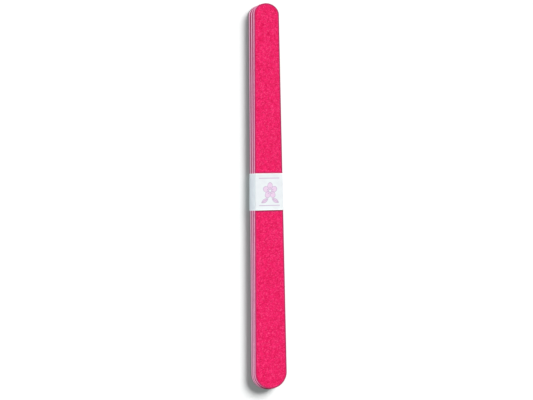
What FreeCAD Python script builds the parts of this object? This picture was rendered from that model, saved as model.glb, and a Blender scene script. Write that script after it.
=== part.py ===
import FreeCAD, Part
import math
import os

# A pack of three tapered nail boards, held together near the middle by a folded paper band.
# Each board is a pulp core with grit-coated paper glued to both faces, die-cut in one stroke.
# Millimetres: X runs across the boards, Y along them to the narrow end, and Z up.
# The origin is below the middle of the boards, on the plane that the band's lap lies on.

# Outline of one board
board_length = 178.0
wide_end_width = 16.73       # between the straight sides, carried on to the wide tip
narrow_end_width = 12.85     # the same at the narrow tip
wide_end_round = 7.4         # along the board, from the tip to where the side starts
narrow_end_round = 5.15

# Layers of one board
core_thickness = 0.9
glue_thickness = 0.05
paper_thickness = 0.16
grit_thickness = 0.18
edge_break_share = 0.6       # of the grit coat, bevelled by the cutting die

# The stack
stack_gap = 0.08             # between the grit of one board and the next
lower_turn = 0.26            # degrees, how far the lower two boards are out of line with the upper one
middle_turn = 0.12
stagger = 0.55               # along the boards, from the upper tip to the lower one
middle_stagger_share = 0.75  # of that, from the upper tip to the middle one

# Paper band
band_width = 17.1            # along the boards
band_place = 2.17            # its middle, from the middle of the pack
band_turn = 0.5              # degrees, how far its cut edges are out of square with the boards
band_paper_thickness = 0.12
fold_radius = 0.15           # inside a fold
band_clearance = 0.03        # from the square edges of the stack to the fold round them
lap_length = 9.0             # how far one end of the strip lies over the other
lap_room = 0.5               # from the end of the inner flap to the foot of the step
step_length = 1.5            # in which the outer flap steps down past the inner one
step_radius = 2.0
lap_glue_thickness = 0.03
lap_glue_inset = 0.6         # from the edges of the lap to the glue

half_diagonal = math.sqrt(0.5)    # of a unit square
edge_break = grit_thickness * edge_break_share
board_thickness = core_thickness + 2 * (glue_thickness + paper_thickness + grit_thickness)
boards_from_below = ("lower", "middle", "upper")
fan_turns = {"lower": lower_turn, "middle": middle_turn, "upper": 0}
stagger_shares = {"lower": 1, "middle": middle_stagger_share, "upper": 0}
layers_from_below = (
    ("bottom_grit", grit_thickness),
    ("bottom_paper", paper_thickness),
    ("bottom_glue", glue_thickness),
    ("core", core_thickness),
    ("top_glue", glue_thickness),
    ("top_paper", paper_thickness),
    ("top_grit", grit_thickness),
)

# A square edge that stands this far inside both walls clears the fold between them
band_room = band_clearance + fold_radius * (1 - half_diagonal)

# Levels, from the underside of the band's lap upwards
outer_flap_middle = band_paper_thickness / 2
lap_drop = band_paper_thickness + lap_glue_thickness
inner_flap_middle = outer_flap_middle + lap_drop
stack_bottom = inner_flap_middle + band_paper_thickness / 2 + band_room
board_pitch = board_thickness + stack_gap
stack_top = stack_bottom + len(boards_from_below) * board_pitch - stack_gap

# Places along a board, from its middle, and the band's lower edge along the pack
wide_tip = -board_length / 2
narrow_tip = board_length / 2
wide_side_start = wide_tip + wide_end_round
narrow_side_start = narrow_tip - narrow_end_round
band_low = band_place - band_width / 2
band_high = band_place + band_width / 2

up = FreeCAD.Vector(0, 0, 1)
along = FreeCAD.Vector(0, 1, 0)


def width_at(y):
    share_to_wide_tip = (narrow_tip - y) / board_length
    return narrow_end_width + (wide_end_width - narrow_end_width) * share_to_wide_tip


def side_point(side, y):
    return FreeCAD.Vector(side * width_at(y) / 2, y, 0)


def corner_curve(start, corner, end):
    # A quarter of an ellipse that leaves the start towards the corner and ends coming from it
    curve = Part.BezierCurve()
    curve.setPoles([start, corner, end])
    curve.setWeight(2, half_diagonal)
    return curve.toShape()


def board_face():
    # Two straight tapering sides, with half an ellipse round each tip
    left, middle, right = -1, 0, 1
    side_starts = {}
    for side in (left, right):
        side_starts[side] = (side_point(side, wide_side_start), side_point(side, narrow_side_start))
    tip = side_point(middle, narrow_tip)
    foot = side_point(middle, wide_tip)
    edges = [
        Part.makeLine(*side_starts[right]),
        corner_curve(side_starts[right][1], side_point(right, narrow_tip), tip),
        corner_curve(tip, side_point(left, narrow_tip), side_starts[left][1]),
        Part.makeLine(side_starts[left][1], side_starts[left][0]),
        corner_curve(side_starts[left][0], side_point(left, wide_tip), foot),
        corner_curve(foot, side_point(right, wide_tip), side_starts[right][0]),
    ]
    return Part.Face(Part.Wire(edges))


def edges_at(solid, level):
    # The edges of a flat slab that lie in one of its two faces
    found = []
    for edge in solid.Edges:
        box = edge.BoundBox
        if box.ZLength < edge_break and abs(box.Center.z - level) < edge_break:
            found.append(edge)
    return found


def layer_slab(layer, thickness):
    slab = outline.extrude(up * thickness)
    if layer == "top_grit":
        slab = slab.makeChamfer(edge_break, edges_at(slab, thickness))
    if layer == "bottom_grit":
        slab = slab.makeChamfer(edge_break, edges_at(slab, 0))
    return slab


def turn_in_stack(solid, angle):
    # About the middle of the band, where the pack is held
    solid.rotate(along * band_place, up, angle)
    return solid


def board_layers(board, level):
    # The seven layers of one board, slipped along the pack by its share of the stagger
    slabs = {}
    slip = stagger / 2 - stagger * stagger_shares[board]
    for layer, thickness in layers_from_below:
        slab = layer_slab(layer, thickness)
        slab.translate(up * level + along * slip)
        slabs[board + "_" + layer] = turn_in_stack(slab, fan_turns[board])
        level += thickness
    return slabs


def folded_path(points, radii):
    # Straight runs joined by tangent arcs; radii are for the points between the two ends
    edges = []
    run_start = points[0]
    for before, corner, after, radius in zip(points, points[1:], points[2:], radii):
        inward = (corner - before).normalize()
        outward = (after - corner).normalize()
        half_turn = inward.getAngle(outward) / 2
        setback = radius * math.tan(half_turn)
        arc_start = corner - inward * setback
        arc_end = corner + outward * setback
        to_centre = (outward - inward).normalize()
        arc_middle = corner + to_centre * (radius / math.cos(half_turn) - radius)
        edges.append(Part.makeLine(run_start, arc_start))
        edges.append(Part.Arc(arc_start, arc_middle, arc_end).toShape())
        run_start = arc_end
    edges.append(Part.makeLine(run_start, points[-1]))
    return edges


def paper_face(points, radii, distance):
    # The path carried outwards by a distance: each corner moves along its mitre, and the radius
    # grows where the paper folds round the boards and shrinks where it bends away from them
    headings = [(end - start).normalize() for start, end in zip(points, points[1:])]
    outwards = [heading.cross(along) for heading in headings]
    moved = [points[0] + outwards[0] * distance]
    moved_radii = []
    for place, radius in enumerate(radii):
        before, after = outwards[place], outwards[place + 1]
        moved.append(points[place + 1] + (before + after) * (distance / (1 + before.dot(after))))
        folds_round = headings[place].cross(headings[place + 1]).dot(along) > 0
        moved_radii.append(radius + distance if folds_round else radius - distance)
    moved.append(points[-1] + outwards[-1] * distance)
    return folded_path(moved, moved_radii)


def band_section(y):
    # The strip cut across at one place: from the inner flap up the left side, over the top, down
    # the right side, and back below the inner flap, where the lap is glued
    widest_turn = max(abs(turn) for turn in fan_turns.values())
    turn_sweep = math.tan(math.radians(widest_turn)) * band_width / 2
    wall_middle = width_at(y - stagger / 2) / 2 + turn_sweep + band_room + band_paper_thickness / 2
    top_middle = stack_top + band_room + band_paper_thickness / 2
    step_foot = lap_length / 2 + lap_room
    path = [
        FreeCAD.Vector(lap_length / 2, y, inner_flap_middle),
        FreeCAD.Vector(-wall_middle, y, inner_flap_middle),
        FreeCAD.Vector(-wall_middle, y, top_middle),
        FreeCAD.Vector(wall_middle, y, top_middle),
        FreeCAD.Vector(wall_middle, y, inner_flap_middle),
        FreeCAD.Vector(step_foot + step_length, y, inner_flap_middle),
        FreeCAD.Vector(step_foot, y, outer_flap_middle),
        FreeCAD.Vector(-lap_length / 2, y, outer_flap_middle),
    ]
    radii = [fold_radius + band_paper_thickness / 2] * 4 + [step_radius] * 2
    outside = paper_face(path, radii, band_paper_thickness / 2)
    inside = paper_face(path, radii, -band_paper_thickness / 2)
    start_cut = Part.makeLine(inside[0].Vertexes[0].Point, outside[0].Vertexes[0].Point)
    end_cut = Part.makeLine(outside[-1].Vertexes[-1].Point, inside[-1].Vertexes[-1].Point)
    return Part.Wire([start_cut] + outside + [end_cut] + inside[::-1])


def paper_band():
    # A sleeve whose sides follow the taper of the boards, with both edges cut a little out of square
    skew = math.tan(math.radians(band_turn)) * wide_end_width
    sections = [band_section(band_low - skew), band_section(band_high + skew)]
    sleeve = Part.makeLoft(sections, True, True)
    corner = FreeCAD.Vector(-wide_end_width, band_low, -wide_end_width)
    cutter = Part.makeBox(2 * wide_end_width, band_width, 2 * wide_end_width, corner)
    return sleeve.common(turn_in_stack(cutter, band_turn)).Solids[0]


def lap_glue():
    # The film of glue between the two flaps of the band
    length = lap_length - 2 * lap_glue_inset
    width = band_width - 2 * lap_glue_inset
    corner = FreeCAD.Vector(-length / 2, band_low + lap_glue_inset, band_paper_thickness)
    return turn_in_stack(Part.makeBox(length, width, lap_glue_thickness, corner), band_turn)


outline = board_face()

nodes = {}
for place, board in enumerate(boards_from_below):
    nodes.update(board_layers(board, stack_bottom + place * board_pitch))
nodes["paper_band"] = paper_band()
nodes["band_lap_glue"] = lap_glue()

os.makedirs("parts", exist_ok=True)
for name, shape in nodes.items():
    shape.exportStep("parts/" + name + ".step")
    print(name, "valid" if shape.isValid() else "BROKEN", round(shape.Volume, 2), "mm3")
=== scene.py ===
import math
import bmesh
import bpy
import numpy as np
from mathutils import Matrix, Vector


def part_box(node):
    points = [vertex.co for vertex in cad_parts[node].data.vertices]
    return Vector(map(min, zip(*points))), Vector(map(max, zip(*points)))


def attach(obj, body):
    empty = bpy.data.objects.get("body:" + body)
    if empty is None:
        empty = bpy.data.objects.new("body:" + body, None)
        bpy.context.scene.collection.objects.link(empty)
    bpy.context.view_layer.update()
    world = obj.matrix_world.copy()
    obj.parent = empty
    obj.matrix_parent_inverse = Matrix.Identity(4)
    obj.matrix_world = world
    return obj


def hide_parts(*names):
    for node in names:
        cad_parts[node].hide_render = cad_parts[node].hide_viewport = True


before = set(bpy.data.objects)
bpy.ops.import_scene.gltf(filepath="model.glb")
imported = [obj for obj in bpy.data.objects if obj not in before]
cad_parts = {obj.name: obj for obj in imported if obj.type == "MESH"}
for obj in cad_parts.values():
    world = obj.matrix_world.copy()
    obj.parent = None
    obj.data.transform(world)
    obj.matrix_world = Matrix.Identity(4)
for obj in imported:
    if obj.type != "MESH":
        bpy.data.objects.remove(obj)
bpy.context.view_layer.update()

# A pack of three pink emery boards in a white paper band: the looks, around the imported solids
mm = 0.001
weld = 1e-7      # m, points closer than this become one


# Shared helpers

def linear(hexColour):
    # sRGB hex to linear light, with alpha 1
    channels = np.array([int(hexColour[i:i + 2], 16) for i in (1, 3, 5)]) / 255
    light = np.where(channels <= 0.04045, channels / 12.92, ((channels + 0.055) / 1.055) ** 2.4)
    return (*light.tolist(), 1.0)


def perMetre(size):
    # Texture scale that gives a pattern of this size
    return 1 / size


def addNode(tree, kind, settings=None, values=None, links=None, stops=None):
    # One node: its settings, its socket values, the sockets that feed it, and a ramp's stops
    node = tree.nodes.new(kind)
    for name, value in (settings or {}).items():
        setattr(node, name, value)
    for socket, value in (values or {}).items():
        node.inputs[socket].default_value = value
    for socket, source in (links or {}).items():
        tree.links.new(source, node.inputs[socket])
    if stops:
        elements = node.color_ramp.elements
        while len(elements) < len(stops):
            elements.new(1)
        for element, (place, colour) in zip(elements, stops):
            element.position = place
            element.color = linear(colour)
    return node


def newMaterial(name, finish):
    # A material with its plain shader values set, and the place on the piece to read patterns by
    material = bpy.data.materials.new(name)
    material.use_nodes = True
    tree = material.node_tree
    shader = tree.nodes["Principled BSDF"]
    for socket, value in finish.items():
        shader.inputs[socket].default_value = value
    place = addNode(tree, "ShaderNodeTexCoord").outputs["Object"]
    return material, tree, shader, place


def gridFaces(index):
    # Quads between neighbouring rows and columns of a table of vertex numbers
    corners = (index[:-1, :-1], index[1:, :-1], index[1:, 1:], index[:-1, 1:])
    return np.stack(corners, -1).reshape(-1, 4)


def makePiece(name, vertices, faces, material, attributes):
    # A closed mesh of quads, with its doubles merged and its faces turned outwards
    mesh = bpy.data.meshes.new(name)
    mesh.from_pydata(vertices.tolist(), [], faces.tolist())
    for label, values in attributes.items():
        layer = mesh.attributes.new(label, "FLOAT", "POINT")
        layer.data.foreach_set("value", np.ascontiguousarray(values, dtype=np.float32))
    work = bmesh.new()
    work.from_mesh(mesh)
    bmesh.ops.remove_doubles(work, verts=work.verts, dist=weld)
    bmesh.ops.recalc_face_normals(work, faces=work.faces)
    work.to_mesh(mesh)
    work.free()
    mesh.polygons.foreach_set("use_smooth", np.ones(len(mesh.polygons), dtype=bool))
    mesh.materials.append(material)
    piece = bpy.data.objects.new(name, mesh)
    bpy.context.scene.collection.objects.link(piece)
    return piece


def grainField(x, y, cell, rng):
    # Seeded heights from 0 to 1 on a square net, eased from corner to corner in between
    i, j = x / cell, y / cell
    i, j = i - math.floor(i.min()), j - math.floor(j.min())
    net = rng.random((int(i.max()) + 2, int(j.max()) + 2))
    a, b = i.astype(int), j.astype(int)
    s, t = i - a, j - b
    s, t = s * s * (3 - 2 * s), t * t * (3 - 2 * t)
    near = net[a, b] * (1 - s) + net[a + 1, b] * s
    far = net[a, b + 1] * (1 - s) + net[a + 1, b + 1] * s
    return near * (1 - t) + far * t


# Outline that the layers of a board share

stack = {
    "length": 178.0 * mm,
    "wideWidth": 16.73 * mm,
    "narrowWidth": 12.85 * mm,
    "wideRound": 7.4 * mm,
    "narrowRound": 5.15 * mm,
    "pivot": 2.17 * mm,          # middle of the band, along the boards
    "turns": {"lower": 0.26, "middle": 0.12, "upper": 0.0},          # degrees
    "slips": {"lower": -0.275, "middle": -0.1375, "upper": 0.275},   # mm along the pack
    "rowStep": 0.32 * mm,
    "endRows": 40,
}


def halfWidthAt(y):
    # Straight taper from the wide tip to the narrow tip
    share = 0.5 - y / stack["length"]
    return (stack["narrowWidth"] + (stack["wideWidth"] - stack["narrowWidth"]) * share) / 2


def endCurve(tip, side):
    # A quarter of an ellipse: the rational quadratic curve from (half width, side) to (0, tip),
    # drawn towards the corner that the taper would reach at the tip
    t = np.linspace(0, 1, stack["endRows"])
    weights = np.stack([(1 - t) ** 2, 2 * math.sqrt(0.5) * t * (1 - t), t ** 2])
    weights /= weights.sum(0)
    half = weights[0] * halfWidthAt(side) + weights[1] * halfWidthAt(tip)
    place = weights[0] * side + (weights[1] + weights[2]) * tip
    return np.stack([half, place], 1)


def outlineRows():
    # The right half of the outline from the wide tip to the narrow tip, and its inward normals
    wideTip, narrowTip = -stack["length"] / 2, stack["length"] / 2
    wideSide, narrowSide = wideTip + stack["wideRound"], narrowTip - stack["narrowRound"]
    y = np.linspace(wideSide, narrowSide, int((narrowSide - wideSide) / stack["rowStep"]))[1:-1]
    sides = np.stack([halfWidthAt(y), y], 1)
    wideEnd, narrowEnd = endCurve(wideTip, wideSide)[::-1], endCurve(narrowTip, narrowSide)
    rows = np.concatenate([wideEnd, sides, narrowEnd])
    heading = np.gradient(rows, axis=0)
    heading[0], heading[-1] = (1, 0), (-1, 0)
    heading /= np.linalg.norm(heading, axis=1, keepdims=True)
    return rows, np.stack([-heading[:, 1], heading[:, 0]], 1)


def inStack(points, boardName):
    # Points slipped along the boards, then turned about the upright line through the band's middle
    angle = math.radians(stack["turns"][boardName])
    x = points[..., 0]
    y = points[..., 1] + stack["slips"][boardName] * mm - stack["pivot"]
    placed = points.copy()
    placed[..., 0] = x * math.cos(angle) - y * math.sin(angle)
    placed[..., 1] = x * math.sin(angle) + y * math.cos(angle) + stack["pivot"]
    return placed


rows, inward = outlineRows()
print("outline:", len(rows), "rows")


# Paper band

band = {
    "width": 17.1 * mm,
    "skew": math.tan(math.radians(0.5)),   # its cut edges are out of square with the boards
    "paper": 0.12 * mm,
    "room": 0.17 * mm,          # from the side of the boards to the middle of the paper
    "fold": 0.42 * mm,          # radius of the middle of the paper in a fold
    "lap": 9.0 * mm,            # how far the two flaps lie over each other
    "lapRoom": 0.5 * mm,
    "lapGlue": 0.03 * mm,
    "stepLength": 1.5 * mm,
    "stepRadius": 2.0 * mm,
    "panelStep": 0.13 * mm,     # spacing of the points on the printed panel
    "runStep": 0.6 * mm,        # and on the other runs
    "foldSteps": 10,
    "widthStep": 0.15 * mm,
    "crown": 0.06 * mm,         # how far the top panel stands out between its folds
    "flare": 0.12 * mm,         # and how much farther at its cut edges
    "cockle": 0.05 * mm,        # waves in the two cut edges
    "cockleLength": 4.7 * mm,
    "cockleDepth": 1.2 * mm,    # how far in from the edge they go
    "unprinted": 9.0,           # mm to any print, for the inside of the paper
}


def foldLine():
    # The heading of the strip is level along each run and turns evenly through each fold, and its
    # places are the running sum of steps in that heading. Gives (x, z), the outward normal, the
    # length so far, where along it the top panel starts and ends, and where the folds are.
    low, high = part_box("paper_band")
    wall = halfWidthAt(stack["pivot"]) + band["room"]
    outer = low.z + band["paper"] / 2
    inner = outer + band["paper"] + band["lapGlue"]
    top = high.z - band["paper"] / 2
    foot = band["lap"] / 2 + band["lapRoom"]
    corners = np.array([
        (band["lap"] / 2, inner), (-wall, inner), (-wall, top), (wall, top), (wall, inner),
        (foot + band["stepLength"], inner), (foot, outer), (-band["lap"] / 2, outer),
    ])
    radii = np.array([band["fold"]] * 4 + [band["stepRadius"]] * 2)
    runs = np.diff(corners, axis=0)
    headings = np.unwrap(np.arctan2(runs[:, 1], runs[:, 0]))
    turns = np.abs(np.diff(headings))
    setback = radii * np.tan(turns / 2)
    runLengths = np.hypot(runs[:, 0], runs[:, 1]) - np.append(0, setback) - np.append(setback, 0)
    pieces = np.zeros(2 * len(runs) - 1)     # runs and folds by turns
    pieces[::2], pieces[1::2] = runLengths, radii * turns
    knots = np.append(0, np.cumsum(pieces))
    steps = np.full(len(pieces), band["foldSteps"])
    steps[::2] = np.ceil(runLengths / band["runStep"])
    panel = 4                                # the run over the top of the boards
    steps[panel] = math.ceil(pieces[panel] / band["panelStep"])
    length = [np.linspace(knots[k], knots[k + 1], steps[k] + 1)[:-1] for k in range(len(pieces))]
    length = np.append(np.concatenate(length), knots[-1])
    knotHeadings = np.repeat(headings, 2)
    middle = np.interp((length[1:] + length[:-1]) / 2, knots, knotHeadings)
    stride = np.diff(length)[:, None] * np.stack([np.cos(middle), np.sin(middle)], 1)
    places = corners[0] + np.concatenate([np.zeros((1, 2)), np.cumsum(stride, 0)])
    heading = np.interp(length, knots, knotHeadings)
    normal = np.stack([-np.sin(heading), np.cos(heading)], 1)
    folds = (knots[1:8:2] + knots[2:9:2]) / 2    # the four round the boards, without the step's two
    return places, normal, length, knots[panel:panel + 2], folds


# Print on the band: a five-petalled blossom with two leaves, between two fine rules
blossom = {
    "petals": 5,
    "centre": (0.4, 0.5),        # mm from the middle of the panel
    "size": 3.7,                 # mm from its middle to the tip of a petal
    "notch": 0.62,               # of that, where two petals meet
    "eye": 0.2,                  # of that, the ring in the middle
    "anther": 0.4,               # of that, where the dots on the petals are
    "dot": 0.15,                 # mm, its radius inside the line round it
    "leaves": ((-2.5, -4.1, 28), (3.1, -4.1, 152)),   # mm, and degrees from the panel's width
    "leaf": (1.9, 0.75),         # mm, half its length and half its width
    "rules": (-6.3, 6.3),        # mm along the band
    "ruleHalf": 5.3,
    "line": 0.17,                # mm, half the width of a line
}


def printDistance(p, q):
    # Distances in mm to the tinted shapes and to the drawn lines, less than zero inside them.
    # A petal's edge is a radius that swings with the size of the cosine of half the petals times
    # the angle, and a leaf's is a parabola on each side of its rib.
    dx, dy = p - blossom["centre"][0], q - blossom["centre"][1]
    r, angle = np.hypot(dx, dy), np.arctan2(dx, dy)
    petals, size, notch = blossom["petals"], blossom["size"], blossom["notch"]
    petal = r - size * (notch + (1 - notch) * np.abs(np.cos(petals / 2 * angle)))
    sector = math.tau / petals
    offPetal = (angle + sector / 2) % sector - sector / 2
    offNotch = angle % sector - sector / 2
    eye = r - blossom["eye"] * size
    seam = np.maximum(r * np.abs(np.sin(offNotch)), np.maximum(-eye, petal))
    anther = np.hypot(r * np.cos(offPetal) - blossom["anther"] * size, r * np.sin(offPetal))
    tints = [np.maximum(petal, -eye)]
    lines = [np.abs(petal), np.abs(eye), seam, anther - blossom["dot"]]
    halfLength, halfWidth = blossom["leaf"]
    for x, y, degrees in blossom["leaves"]:
        turn = math.radians(degrees)
        a = (p - x) * math.cos(turn) + (q - y) * math.sin(turn)
        b = (q - y) * math.cos(turn) - (p - x) * math.sin(turn)
        pastTip = np.abs(a) - halfLength
        blade = np.maximum(np.abs(b) - halfWidth * (1 - (a / halfLength) ** 2), pastTip)
        tints.append(blade)
        lines += [np.abs(blade), np.maximum(np.abs(b), pastTip)]
    for y in blossom["rules"]:
        lines.append(np.maximum(np.abs(q - y), np.abs(p) - blossom["ruleHalf"]))
    return np.minimum.reduce(tints), np.minimum.reduce(lines) - blossom["line"]


def paperBand(material):
    # The strip is the fold line carried along the boards, half a paper thickness out and in from
    # its middle, with its width scaled by the taper and its cut edges skewed. The top panel stands
    # out by a parabola between its folds, and its cut edges flare and wave by a sine that dies
    # away from the edge.
    places, normal, length, panel, folds = foldLine()
    count = int(band["width"] / band["widthStep"])
    across = np.linspace(-1, 1, count) * band["width"] / 2
    s = (length - panel.mean()) / (panel[1] - panel[0]) * 2
    swell = np.clip(1 - s ** 2, 0, 1)[:, None]
    fromEdge = band["width"] / 2 - np.abs(across)
    wave = 0.5 + 0.5 * np.sin(math.tau * length[:, None] / band["cockleLength"] + np.sign(across))
    lift = (band["flare"] + band["cockle"] * wave) * np.exp(-fromEdge / band["cockleDepth"])
    out = swell * (band["crown"] + lift)
    taper = halfWidthAt(stack["pivot"] + across) / halfWidthAt(stack["pivot"])
    skins = []
    for side in (1, -1):
        reach = out + side * band["paper"] / 2
        xz = places[:, None] + normal[:, None] * reach[..., None]
        x = xz[..., 0] * taper
        skins.append(np.stack([x, stack["pivot"] + across + x * band["skew"], xz[..., 1]], -1))
    vertices = np.stack(skins)
    index = np.arange(2 * out.size).reshape(2, *out.shape)
    rims = [index[:, 0], index[:, -1], index[:, :, 0], index[:, :, -1]]
    faces = np.concatenate([gridFaces(table) for table in (index[0], index[1], *rims)])
    tint, line = printDistance((length[:, None] - panel.mean()) / mm, across[None] / mm)
    bare = np.full(tint.shape, band["unprinted"])
    fold = np.min(np.abs(length[:, None] - folds), 1)
    fold = np.broadcast_to(fold[:, None], tint.shape) / mm
    edge = np.broadcast_to(fromEdge, tint.shape) / mm
    attributes = {
        "tintDistance": np.stack([tint, bare]).ravel(),
        "lineDistance": np.stack([line, bare]).ravel(),
        "foldDistance": np.stack([fold, fold]).ravel(),
        "edgeDistance": np.stack([edge, edge]).ravel(),
    }
    piece = makePiece("paper_band_strip", vertices.reshape(-1, 3), faces, material, attributes)
    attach(piece, "paper_band")
    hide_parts("paper_band")


# Coated white paper, printed in two pale inks, cut and folded: smooth and a little cool, with a faint
# cloud of fibre in it, whiter at the folds where the coating cracked, and with a painted highlight at
# the folds and along the cut edges.
# Paper fibre is 0.03 mm wide, too fine to show, so it is drawn at 0.25 mm.
paperLook = {
    "finish": {"Roughness": 0.62, "IOR": 1.5, "Specular IOR Level": 0.3},
    "cloud": 3.5 * mm,
    "cloudDetail": 3,
    "tones": ((0.3, "#E7EBEE"), (0.7, "#EDF2F3")),
    "fibre": 0.25 * mm,
    "fibreDetail": 3,
    "bump": 0.01 * mm,
    "bumpStrength": 0.4,
    # white of the worn coating and of the painted highlights at folds and cut edges
    "wornAndLit": "#FCFDFE",
    "foldWearAndHighlight": (0.3, 0.12),     # mm each side of a fold, and how much of the wear and painted highlight shows
    "edgeHighlight": (0.8, 0.8),      # the same for the painted highlight, in from a cut edge
    "tint": (0.9, "#E9CBE6"),    # how thick the ink of the shapes is, and its colour
    "line": (0.85, "#C6AECB"),   # and that of the lines
    "inkEdge": 0.04,             # mm, the soft edge of the ink
}


def printedPaper():
    material, tree, shader, place = newMaterial("coated_white_paper", paperLook["finish"])
    cloud = addNode(tree, "ShaderNodeTexNoise", links={"Vector": place},
                    values={"Scale": perMetre(paperLook["cloud"]), "Detail": paperLook["cloudDetail"]})
    colour = addNode(tree, "ShaderNodeValToRGB", links={"Fac": cloud.outputs["Fac"]},
                     stops=paperLook["tones"]).outputs["Color"]
    soft = paperLook["inkEdge"]
    coats = (
        # painted highlight at the folds and cut edges, with some wear at the folds
        ("foldDistance", 0, *paperLook["foldWearAndHighlight"], paperLook["wornAndLit"]),
        ("edgeDistance", 0, *paperLook["edgeHighlight"], paperLook["wornAndLit"]),
        ("tintDistance", -soft, soft, *paperLook["tint"]),
        ("lineDistance", -soft, soft, *paperLook["line"]),
    )
    for label, near, far, most, tone in coats:
        distance = addNode(tree, "ShaderNodeAttribute", {"attribute_name": label})
        cover = addNode(tree, "ShaderNodeMapRange", links={"Value": distance.outputs["Fac"]},
                        values={"From Min": near, "From Max": far, "To Min": most, "To Max": 0})
        colour = addNode(tree, "ShaderNodeMix", {"data_type": "RGBA"}, {"B": linear(tone)},
                         {"Factor": cover.outputs["Result"], "A": colour}).outputs["Result"]
    fibre = addNode(tree, "ShaderNodeTexNoise", links={"Vector": place},
                    values={"Scale": perMetre(paperLook["fibre"]), "Detail": paperLook["fibreDetail"]})
    bump = addNode(tree, "ShaderNodeBump", links={"Height": fibre.outputs["Fac"]},
                   values={"Strength": paperLook["bumpStrength"], "Distance": paperLook["bump"]})
    tree.links.new(colour, shader.inputs["Base Color"])
    tree.links.new(bump.outputs["Normal"], shader.inputs["Normal"])
    return material


# Grit coats

gritCoat = {
    "column": 0.32 * mm,           # spacing of the points across the face
    "bevel": 0.108 * mm,           # rolled over by the cutting die
    "rollSteps": (0, 30, 60, 90),      # degrees
    "rings": (0.2, 0.35, 0.5, 0.8),    # mm in from the edge, inside the bevel
    "grain": 0.42 * mm,            # clumps of grains
    "relief": 0.04 * mm,           # from the highest grain down to the resin between
    "rim": 0.5 * mm,               # the grains start over this width
    "shadeInset": (0.45, 0.85),       # mm in from the edge, where the painted edge shade is full and where it ends
    "shadeStrength": (0.8, 0.2),         # its weight, and how much darker the painted edge shade is on the right
    "bandShade": (0.3, 0.6, 0.95),    # mm outside the band, half width and weight of the painted shade lines beside it
    "seeds": {"lower": 11, "middle": 23, "upper": 37},
}


def paintedShadeWeight(boardName, layer, x, y, inset):
    # Painted shade: a darker line that fades out evenly from the edge of the face. On top of the pack
    # there is also a straight line of painted shade with sloping shoulders on each side of the band.
    near, far = gritCoat["shadeInset"]
    weight, slope = gritCoat["shadeStrength"]
    rim = np.clip((far - inset / mm) / (far - near), 0, 1) * (weight + slope * x / halfWidthAt(y))
    # painted shade beside the band's two cut edges, on the top face of the pack
    if (boardName, layer) == ("upper", "top_grit"):
        place, half, weight = gritCoat["bandShade"]
        offBand = y + stack["slips"][boardName] * mm - stack["pivot"] - x * band["skew"]
        bandShade = 1 - np.abs(np.abs(offBand) / mm - band["width"] / mm / 2 - place) / half
        rim = np.maximum(rim, weight * np.clip(bandShade, 0, 1))
    return rim


def gritFace(boardName, layer, material):
    # Each row runs from the left edge, in along the outline's normals, straight across, and out to
    # the right edge. Its height falls off as a quarter circle over the bevel, and inside that it is
    # the level of the coat less a seeded grain field.
    low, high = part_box(boardName + "_" + layer)
    up = 1 if layer == "top_grit" else -1
    crest, back = (high.z, low.z) if up == 1 else (low.z, high.z)
    rng = np.random.default_rng(gritCoat["seeds"][boardName] + up)
    roll = gritCoat["bevel"] * (1 - np.cos(np.radians(gritCoat["rollSteps"])))
    insets = np.concatenate([roll, np.array(gritCoat["rings"]) * mm])
    edge = rows[:, None] + inward[:, None] * insets[:, None]
    edge[..., 0] = np.maximum(edge[..., 0], 0)
    across = int(stack["wideWidth"] / gritCoat["column"])
    share = np.linspace(-1, 1, across + 2)[1:-1]
    x = np.concatenate([-edge[..., 0], edge[:, -1:, 0] * share, edge[:, ::-1, 0]], 1)
    y = np.concatenate([edge[..., 1], np.repeat(edge[:, -1:, 1], across, 1), edge[:, ::-1, 1]], 1)
    inset = np.concatenate([insets, np.full(across, insets[-1]), insets[::-1]])
    inset = np.broadcast_to(inset, x.shape)
    outside = 1 - np.clip(inset / gritCoat["bevel"], 0, 1)
    drop = gritCoat["bevel"] * (1 - np.sqrt(1 - outside ** 2))
    grown = np.clip((inset - gritCoat["bevel"]) / gritCoat["rim"], 0, 1)
    drop = drop + gritCoat["relief"] * grainField(x, y, gritCoat["grain"], rng) * grown
    face = np.stack([x, y, crest - up * drop], -1)
    flat = np.stack([rows * (-1, 1), rows], 1)
    flat = np.concatenate([flat, np.full((len(rows), 2, 1), back)], -1)
    faceIndex = np.arange(x.size).reshape(x.shape)
    flatIndex = x.size + np.arange(2 * len(rows)).reshape(-1, 2)
    faces = np.concatenate([
        gridFaces(faceIndex),
        gridFaces(np.stack([flatIndex[:, 0], faceIndex[:, 0]], 1)),
        gridFaces(np.stack([faceIndex[:, -1], flatIndex[:, 1]], 1)),
        gridFaces(flatIndex[:, ::-1]),
    ])
    vertices = np.concatenate([face.reshape(-1, 3), flat.reshape(-1, 3)])
    vertices = inStack(vertices, boardName)
    # painted shade along the face's edge and beside the band, carried in the rim attribute; the flat
    # back and cut sides take it in full
    paintedShade = paintedShadeWeight(boardName, layer, x, y, inset)
    attributes = {"rim": np.concatenate([paintedShade.ravel(), np.ones(flatIndex.size)])}
    piece = makePiece(boardName + "_" + layer + "_coat", vertices, faces, material, attributes)
    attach(piece, boardName + "_board")
    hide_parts(boardName + "_" + layer)


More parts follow.
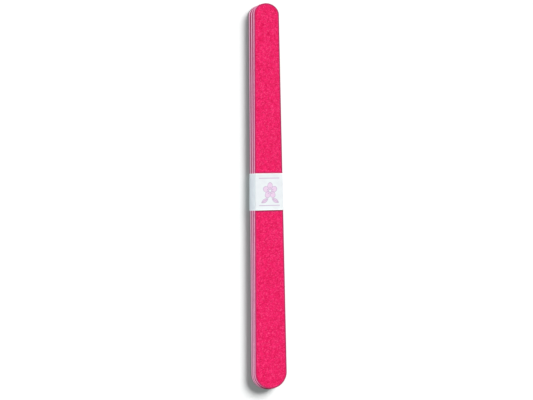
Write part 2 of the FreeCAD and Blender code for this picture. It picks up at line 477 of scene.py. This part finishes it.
# Mineral grit in dyed resin, rolled on and cured: a dry, even hot pink that breaks up into single grains
# close to, a few of which catch the light, with painted shade in a darker line along the edge of the
# face and beside the band.
# Real 180 grit is 0.08 mm, too fine to show, so a grain is drawn at 0.42 mm.
gritLook = {
    "finish": {"IOR": 1.55, "Specular IOR Level": 0.12},
    "grain": 0.42 * mm,
    "grains": ((0.0, "#CC0042"), (0.35, "#F00E5C"), (0.7, "#FA1C6A"), (1.0, "#FF5692")),
    "patch": 1.7 * mm,
    "patchDetail": 2,
    "patches": ((0.3, "#E6054F"), (0.7, "#FF2670")),
    "patchShare": 0.5,
    # darker pink of the painted edge shade, taken in full by the coat's cut sides
    "rim": "#A8305C",
    "dryShare": 0.75,            # of the grains, and the rest catch the light more and more
    "roughness": (0.9, 0.5),     # from dry to brightest
    "bump": 0.05 * mm,
    "bumpStrength": 0.6,
}


def gritInResin():
    material, tree, shader, place = newMaterial("aluminium_oxide_grit_in_pink_resin", gritLook["finish"])
    grain = addNode(tree, "ShaderNodeTexVoronoi", links={"Vector": place},
                    values={"Scale": perMetre(gritLook["grain"])})
    chance = addNode(tree, "ShaderNodeSeparateColor", links={"Color": grain.outputs["Color"]})
    grains = addNode(tree, "ShaderNodeValToRGB", links={"Fac": chance.outputs["Red"]},
                     stops=gritLook["grains"])
    patch = addNode(tree, "ShaderNodeTexNoise", links={"Vector": place},
                    values={"Scale": perMetre(gritLook["patch"]), "Detail": gritLook["patchDetail"]})
    patches = addNode(tree, "ShaderNodeValToRGB", links={"Fac": patch.outputs["Fac"]},
                      stops=gritLook["patches"])
    mixed = addNode(tree, "ShaderNodeMix", {"data_type": "RGBA"}, {"Factor": gritLook["patchShare"]},
                    {"A": grains.outputs["Color"], "B": patches.outputs["Color"]})
    # painted shade: the rim attribute mixes the face toward the darker pink
    rim = addNode(tree, "ShaderNodeAttribute", {"attribute_name": "rim"})
    edged = addNode(tree, "ShaderNodeMix", {"data_type": "RGBA"}, {"B": linear(gritLook["rim"])},
                    {"Factor": rim.outputs["Fac"], "A": mixed.outputs["Result"]})
    dry, brightest = gritLook["roughness"]
    gloss = addNode(tree, "ShaderNodeMapRange", links={"Value": chance.outputs["Green"]},
                    values={"From Min": gritLook["dryShare"], "To Min": dry, "To Max": brightest})
    bump = addNode(tree, "ShaderNodeBump", {"invert": True}, links={"Height": grain.outputs["Distance"]},
                   values={"Strength": gritLook["bumpStrength"], "Distance": gritLook["bump"]})
    tree.links.new(edged.outputs["Result"], shader.inputs["Base Color"])
    tree.links.new(gloss.outputs["Result"], shader.inputs["Roughness"])
    tree.links.new(bump.outputs["Normal"], shader.inputs["Normal"])
    return material


# Pulp cores

core = {
    "levels": 11,
    "fray": 0.035 * mm,        # how far the cut edge is torn back between fibres
    "streak": (1.6 * mm, 0.12 * mm),   # one torn streak, along the edge and up it
    "seeds": {"lower": 5, "middle": 6, "upper": 7},
    "paintedBounce": {"lower": 0.6, "middle": 0.35, "upper": 0.0},   # how much painted bounce light from the floor pales the core
}


def pulpCore(boardName, material):
    # Loops round the outline, one per level. Each point steps in along the normal by a seeded field
    # that is long along the loop and short up the edge, so that the cut runs in streaks.
    low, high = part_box(boardName + "_core")
    loop = np.concatenate([rows, (rows * (-1, 1))[-2:0:-1]])
    normal = np.concatenate([inward, (inward * (-1, 1))[-2:0:-1]])
    run = np.cumsum(np.linalg.norm(np.diff(loop, axis=0, prepend=loop[-1:]), axis=1))
    level = np.linspace(low.z, high.z, core["levels"])
    alongLoop, upEdge = np.meshgrid(run / core["streak"][0], (level - low.z) / core["streak"][1])
    rng = np.random.default_rng(core["seeds"][boardName])
    torn = core["fray"] * grainField(alongLoop, upEdge, 1, rng)
    torn[[0, -1]] = 0
    edge = loop + normal * torn[..., None]
    height = np.broadcast_to(level[:, None, None], edge.shape[:2] + (1,))
    vertices = inStack(np.concatenate([edge, height], -1), boardName)
    index = np.arange(torn.size).reshape(torn.shape)
    right = np.arange(len(rows))
    left = -right % len(loop)
    faces = np.concatenate([
        gridFaces(np.concatenate([index, index[:, :1]], 1)),
        gridFaces(np.stack([index[0][left], index[0][right]], 1)),
        gridFaces(np.stack([index[-1][left], index[-1][right]], 1)),
    ])
    # painted bounce light from the floor, more in the lower board
    attributes = {"paintedBounce": np.full(torn.size, core["paintedBounce"][boardName])}
    piece = makePiece(boardName + "_core_strip", vertices.reshape(-1, 3), faces, material, attributes)
    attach(piece, boardName + "_board")
    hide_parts(boardName + "_core")


# Pulp board, dyed pale pink in the vat, pressed and die-cut: a soft dull edge of fibre in fine level
# streaks, paler where it is torn, and paler again in the lower two boards, where bounce light from the
# floor is painted in.
pulpLook = {
    "finish": {"Roughness": 0.92, "Specular IOR Level": 0.2},
    "streak": 1.4 * mm,
    "streakDetail": 4,
    "layers": 8,             # a streak is this many times longer than high
    "fleck": 0.35 * mm,
    "fleckDetail": 2,
    "fleckShare": 0.35,
    "tones": ((0.3, "#D9709E"), (0.5, "#F79CC0"), (0.7, "#FFC2D8")),
    # pale pink that the painted bounce light mixes into the lower two cores
    "paintedBounce": "#F0CCDA",
    "bump": 0.05 * mm,
    "bumpStrength": 0.5,
}


def pulpBoard():
    material, tree, shader, place = newMaterial("pale_pink_pulp_board", pulpLook["finish"])
    layered = addNode(tree, "ShaderNodeMapping", links={"Vector": place},
                      values={"Scale": (1, 1, pulpLook["layers"])})
    streak = addNode(tree, "ShaderNodeTexNoise", links={"Vector": layered.outputs["Vector"]},
                     values={"Scale": perMetre(pulpLook["streak"]), "Detail": pulpLook["streakDetail"]})
    fleck = addNode(tree, "ShaderNodeTexNoise", links={"Vector": place},
                    values={"Scale": perMetre(pulpLook["fleck"]), "Detail": pulpLook["fleckDetail"]})
    fibre = addNode(tree, "ShaderNodeMix", values={"Factor": pulpLook["fleckShare"]},
                    links={"A": streak.outputs["Fac"], "B": fleck.outputs["Fac"]})
    tones = addNode(tree, "ShaderNodeValToRGB", links={"Fac": fibre.outputs["Result"]},
                    stops=pulpLook["tones"])
    # painted bounce light: the lower two cores are mixed toward a paler pink
    paintedBounce = addNode(tree, "ShaderNodeAttribute", {"attribute_name": "paintedBounce"})
    coreColour = addNode(tree, "ShaderNodeMix", {"data_type": "RGBA"}, {"B": linear(pulpLook["paintedBounce"])},
                   {"Factor": paintedBounce.outputs["Fac"], "A": tones.outputs["Color"]})
    bump = addNode(tree, "ShaderNodeBump", links={"Height": fibre.outputs["Result"]},
                   values={"Strength": pulpLook["bumpStrength"], "Distance": pulpLook["bump"]})
    tree.links.new(coreColour.outputs["Result"], shader.inputs["Base Color"])
    tree.links.new(bump.outputs["Normal"], shader.inputs["Normal"])
    return material


# Paper and glue between the core and the grit

# Kraft paper, stained through by the resin: a dull deep pink line under the grit.
backingLook = {
    "finish": {"Roughness": 0.88, "Specular IOR Level": 0.2},
    "cloud": 0.5 * mm,
    "tones": ((0.3, "#9A3A66"), (0.7, "#BA507C")),
}

# White laminating glue, dried between paper and pulp: a thin cloudy line, a little glossy.
glueLook = {
    "finish": {"Roughness": 0.45, "IOR": 1.47},
    "cloud": 1.0 * mm,
    "tones": ((0.3, "#C98AA4"), (0.7, "#DDA9BE")),
}

# The same glue on white paper, in the lap of the band: nearly clear, faintly yellow.
lapGlueLook = {
    "finish": {"Roughness": 0.4, "IOR": 1.47},
    "cloud": 1.5 * mm,
    "tones": ((0.3, "#DAD8CC"), (0.7, "#E9E8DF")),
}

filmDetail = 4       # how fine the clouds in the three of them get


def cloudedFilm(name, look):
    # A thin layer whose tone drifts from place to place
    material, tree, shader, place = newMaterial(name, look["finish"])
    cloud = addNode(tree, "ShaderNodeTexNoise", links={"Vector": place},
                    values={"Scale": perMetre(look["cloud"]), "Detail": filmDetail})
    tones = addNode(tree, "ShaderNodeValToRGB", links={"Fac": cloud.outputs["Fac"]}, stops=look["tones"])
    tree.links.new(tones.outputs["Color"], shader.inputs["Base Color"])
    return material


# The boards from the lowest up, then the band round them

gritMaterial, pulpMaterial = gritInResin(), pulpBoard()
films = {
    "paper": cloudedFilm("stained_kraft_paper", backingLook),
    "glue": cloudedFilm("dried_white_glue", glueLook),
}
for boardName in stack["turns"]:
    gritFace(boardName, "bottom_grit", gritMaterial)
    gritFace(boardName, "top_grit", gritMaterial)
    pulpCore(boardName, pulpMaterial)
    for layer, material in films.items():
        for side in ("_bottom_", "_top_"):
            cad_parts[boardName + side + layer].material_slots[0].material = material
    print("board:", boardName)
lapGlue = cloudedFilm("dried_clear_glue", lapGlueLook)
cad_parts["band_lap_glue"].material_slots[0].material = lapGlue
paperBand(printedPaper())
print("band: folded and printed")


# Floor, light and camera

studio = {
    "floorSize": 4.0,
    "floorColour": "#959595",    # white once the backdrop lamp is on it
    "floorLift": 0.158,          # level of its darkest shadow
    "liftColour": "#F0FFFB",     # against the pink that the boards throw on it
    "ambient": 0.12,
    # Lamps: elevation and azimuth in degrees, and how many degrees wide they look
    "key": {"direction": (48.6, 49.0), "level": 1.1, "size": 28, "shadow": True, "colour": "#FFFFFF"},
    "backdrop": {"direction": (46.5, 52.5), "level": 2.66, "size": 34, "shadow": True,
                 "colour": "#FFFFFF"},
    "fill": {"direction": (6, 180), "level": 0.53, "size": 60, "shadow": False, "colour": "#EEF7FF"},
}
camera = {
    "target": (0, 0.275 * mm, 2.57 * mm),
    "distance": 770 * mm,
    "yaw": 30,                   # degrees round to the left of straight above
    "roll": -0.723,
    "lens": 112.26,
    "sensor": 36,
    "slide": (0.25 * mm, -1.88 * mm),     # across and up the picture
}


def seenDirectly(tree):
    # 1 for rays from the camera, and for those that it sees in gloss or through glass
    path = addNode(tree, "ShaderNodeLightPath").outputs
    first = addNode(tree, "ShaderNodeMath", {"operation": "MAXIMUM"},
                    links={0: path["Is Camera Ray"], 1: path["Is Glossy Ray"]})
    both = addNode(tree, "ShaderNodeMath", {"operation": "MAXIMUM"},
                   links={0: first.outputs["Value"], 1: path["Is Transmission Ray"]})
    return both.outputs["Value"]


def whiteFloor():
    # Matt sheet under its own lamp: plain bounce for the object, full white where the camera sees it
    # lit, and a lift that keeps its shadow soft
    material = bpy.data.materials.new("matt_white_sheet")
    material.use_nodes = True
    tree = material.node_tree
    tree.nodes.clear()
    sheet = addNode(tree, "ShaderNodeBsdfDiffuse", values={"Color": linear(studio["floorColour"])})
    strength = addNode(tree, "ShaderNodeMapRange", values={"To Max": studio["floorLift"]},
                       links={"Value": seenDirectly(tree)})
    lift = addNode(tree, "ShaderNodeEmission", values={"Color": linear(studio["liftColour"])},
                   links={"Strength": strength.outputs["Result"]})
    both = addNode(tree, "ShaderNodeAddShader", links={0: sheet.outputs[0], 1: lift.outputs[0]})
    addNode(tree, "ShaderNodeOutputMaterial", links={"Surface": both.outputs[0]})
    half = studio["floorSize"] / 2
    corners = [(-half, -half, 0), (half, -half, 0), (half, half, 0), (-half, half, 0)]
    mesh = bpy.data.meshes.new("floor")
    mesh.from_pydata(corners, [], [(0, 1, 2, 3)])
    mesh.materials.append(material)
    floor = bpy.data.objects.new("floor", mesh)
    bpy.context.scene.collection.objects.link(floor)
    return floor


def sunLamp(name, lamp, lit=None):
    # Level is what a white sheet square to the sun gives back; a lamp for one object lights nothing else
    elevation, azimuth = (math.radians(angle) for angle in lamp["direction"])
    light = bpy.data.lights.new(name, "SUN")
    light.energy = lamp["level"] * math.pi
    light.color = linear(lamp["colour"])[:3]
    light.angle = math.radians(lamp["size"])
    light.use_shadow = lamp["shadow"]
    flat = math.cos(elevation)
    towards = Vector((flat * math.cos(azimuth), flat * math.sin(azimuth), math.sin(elevation)))
    sun = bpy.data.objects.new(name, light)
    sun.rotation_euler = towards.to_track_quat("Z", "Y").to_euler()
    bpy.context.scene.collection.objects.link(sun)
    if lit:
        sun.light_linking.receiver_collection = bpy.data.collections.new(name + "_lights")
        sun.light_linking.receiver_collection.objects.link(lit)


def studioWorld():
    # Dim and even for the object, white where the camera sees it
    world = bpy.data.worlds.new("studio")
    world.use_nodes = True
    tree = world.node_tree
    strength = addNode(tree, "ShaderNodeMapRange", values={"To Min": studio["ambient"], "To Max": 1},
                       links={"Value": seenDirectly(tree)})
    background = tree.nodes["Background"]
    background.inputs["Color"].default_value = linear("#FFFFFF")
    tree.links.new(strength.outputs["Result"], background.inputs["Strength"])
    bpy.context.scene.world = world


def photoCamera():
    # Looks at the target from above and to the left, with the boards upright in a 533 x 400 picture
    yaw, roll = math.radians(camera["yaw"]), math.radians(camera["roll"])
    back = Vector((-math.sin(yaw), 0, math.cos(yaw)))
    across, upward = Vector((math.cos(yaw), 0, math.sin(yaw))), Vector((0, 1, 0))
    right = across * math.cos(roll) + upward * math.sin(roll)
    up = upward * math.cos(roll) - across * math.sin(roll)
    place = Vector(camera["target"]) + back * camera["distance"]
    place += right * camera["slide"][0] + up * camera["slide"][1]
    lens = bpy.data.cameras.new("photo_camera")
    lens.sensor_width = camera["sensor"]
    lens.sensor_fit = "HORIZONTAL"
    lens.lens = camera["lens"]
    viewer = bpy.data.objects.new("photo_camera", lens)
    viewer.matrix_world = Matrix((right, up, back)).transposed().to_4x4()
    viewer.location = place
    bpy.context.scene.collection.objects.link(viewer)
    bpy.context.scene.camera = viewer


floor = whiteFloor()
sunLamp("key_sun", studio["key"])
sunLamp("backdrop_sun", studio["backdrop"], floor)
sunLamp("fill_sun", studio["fill"])
studioWorld()
photoCamera()
bpy.context.scene.view_settings.view_transform = "Standard"
print("studio: floor, lamps and camera")
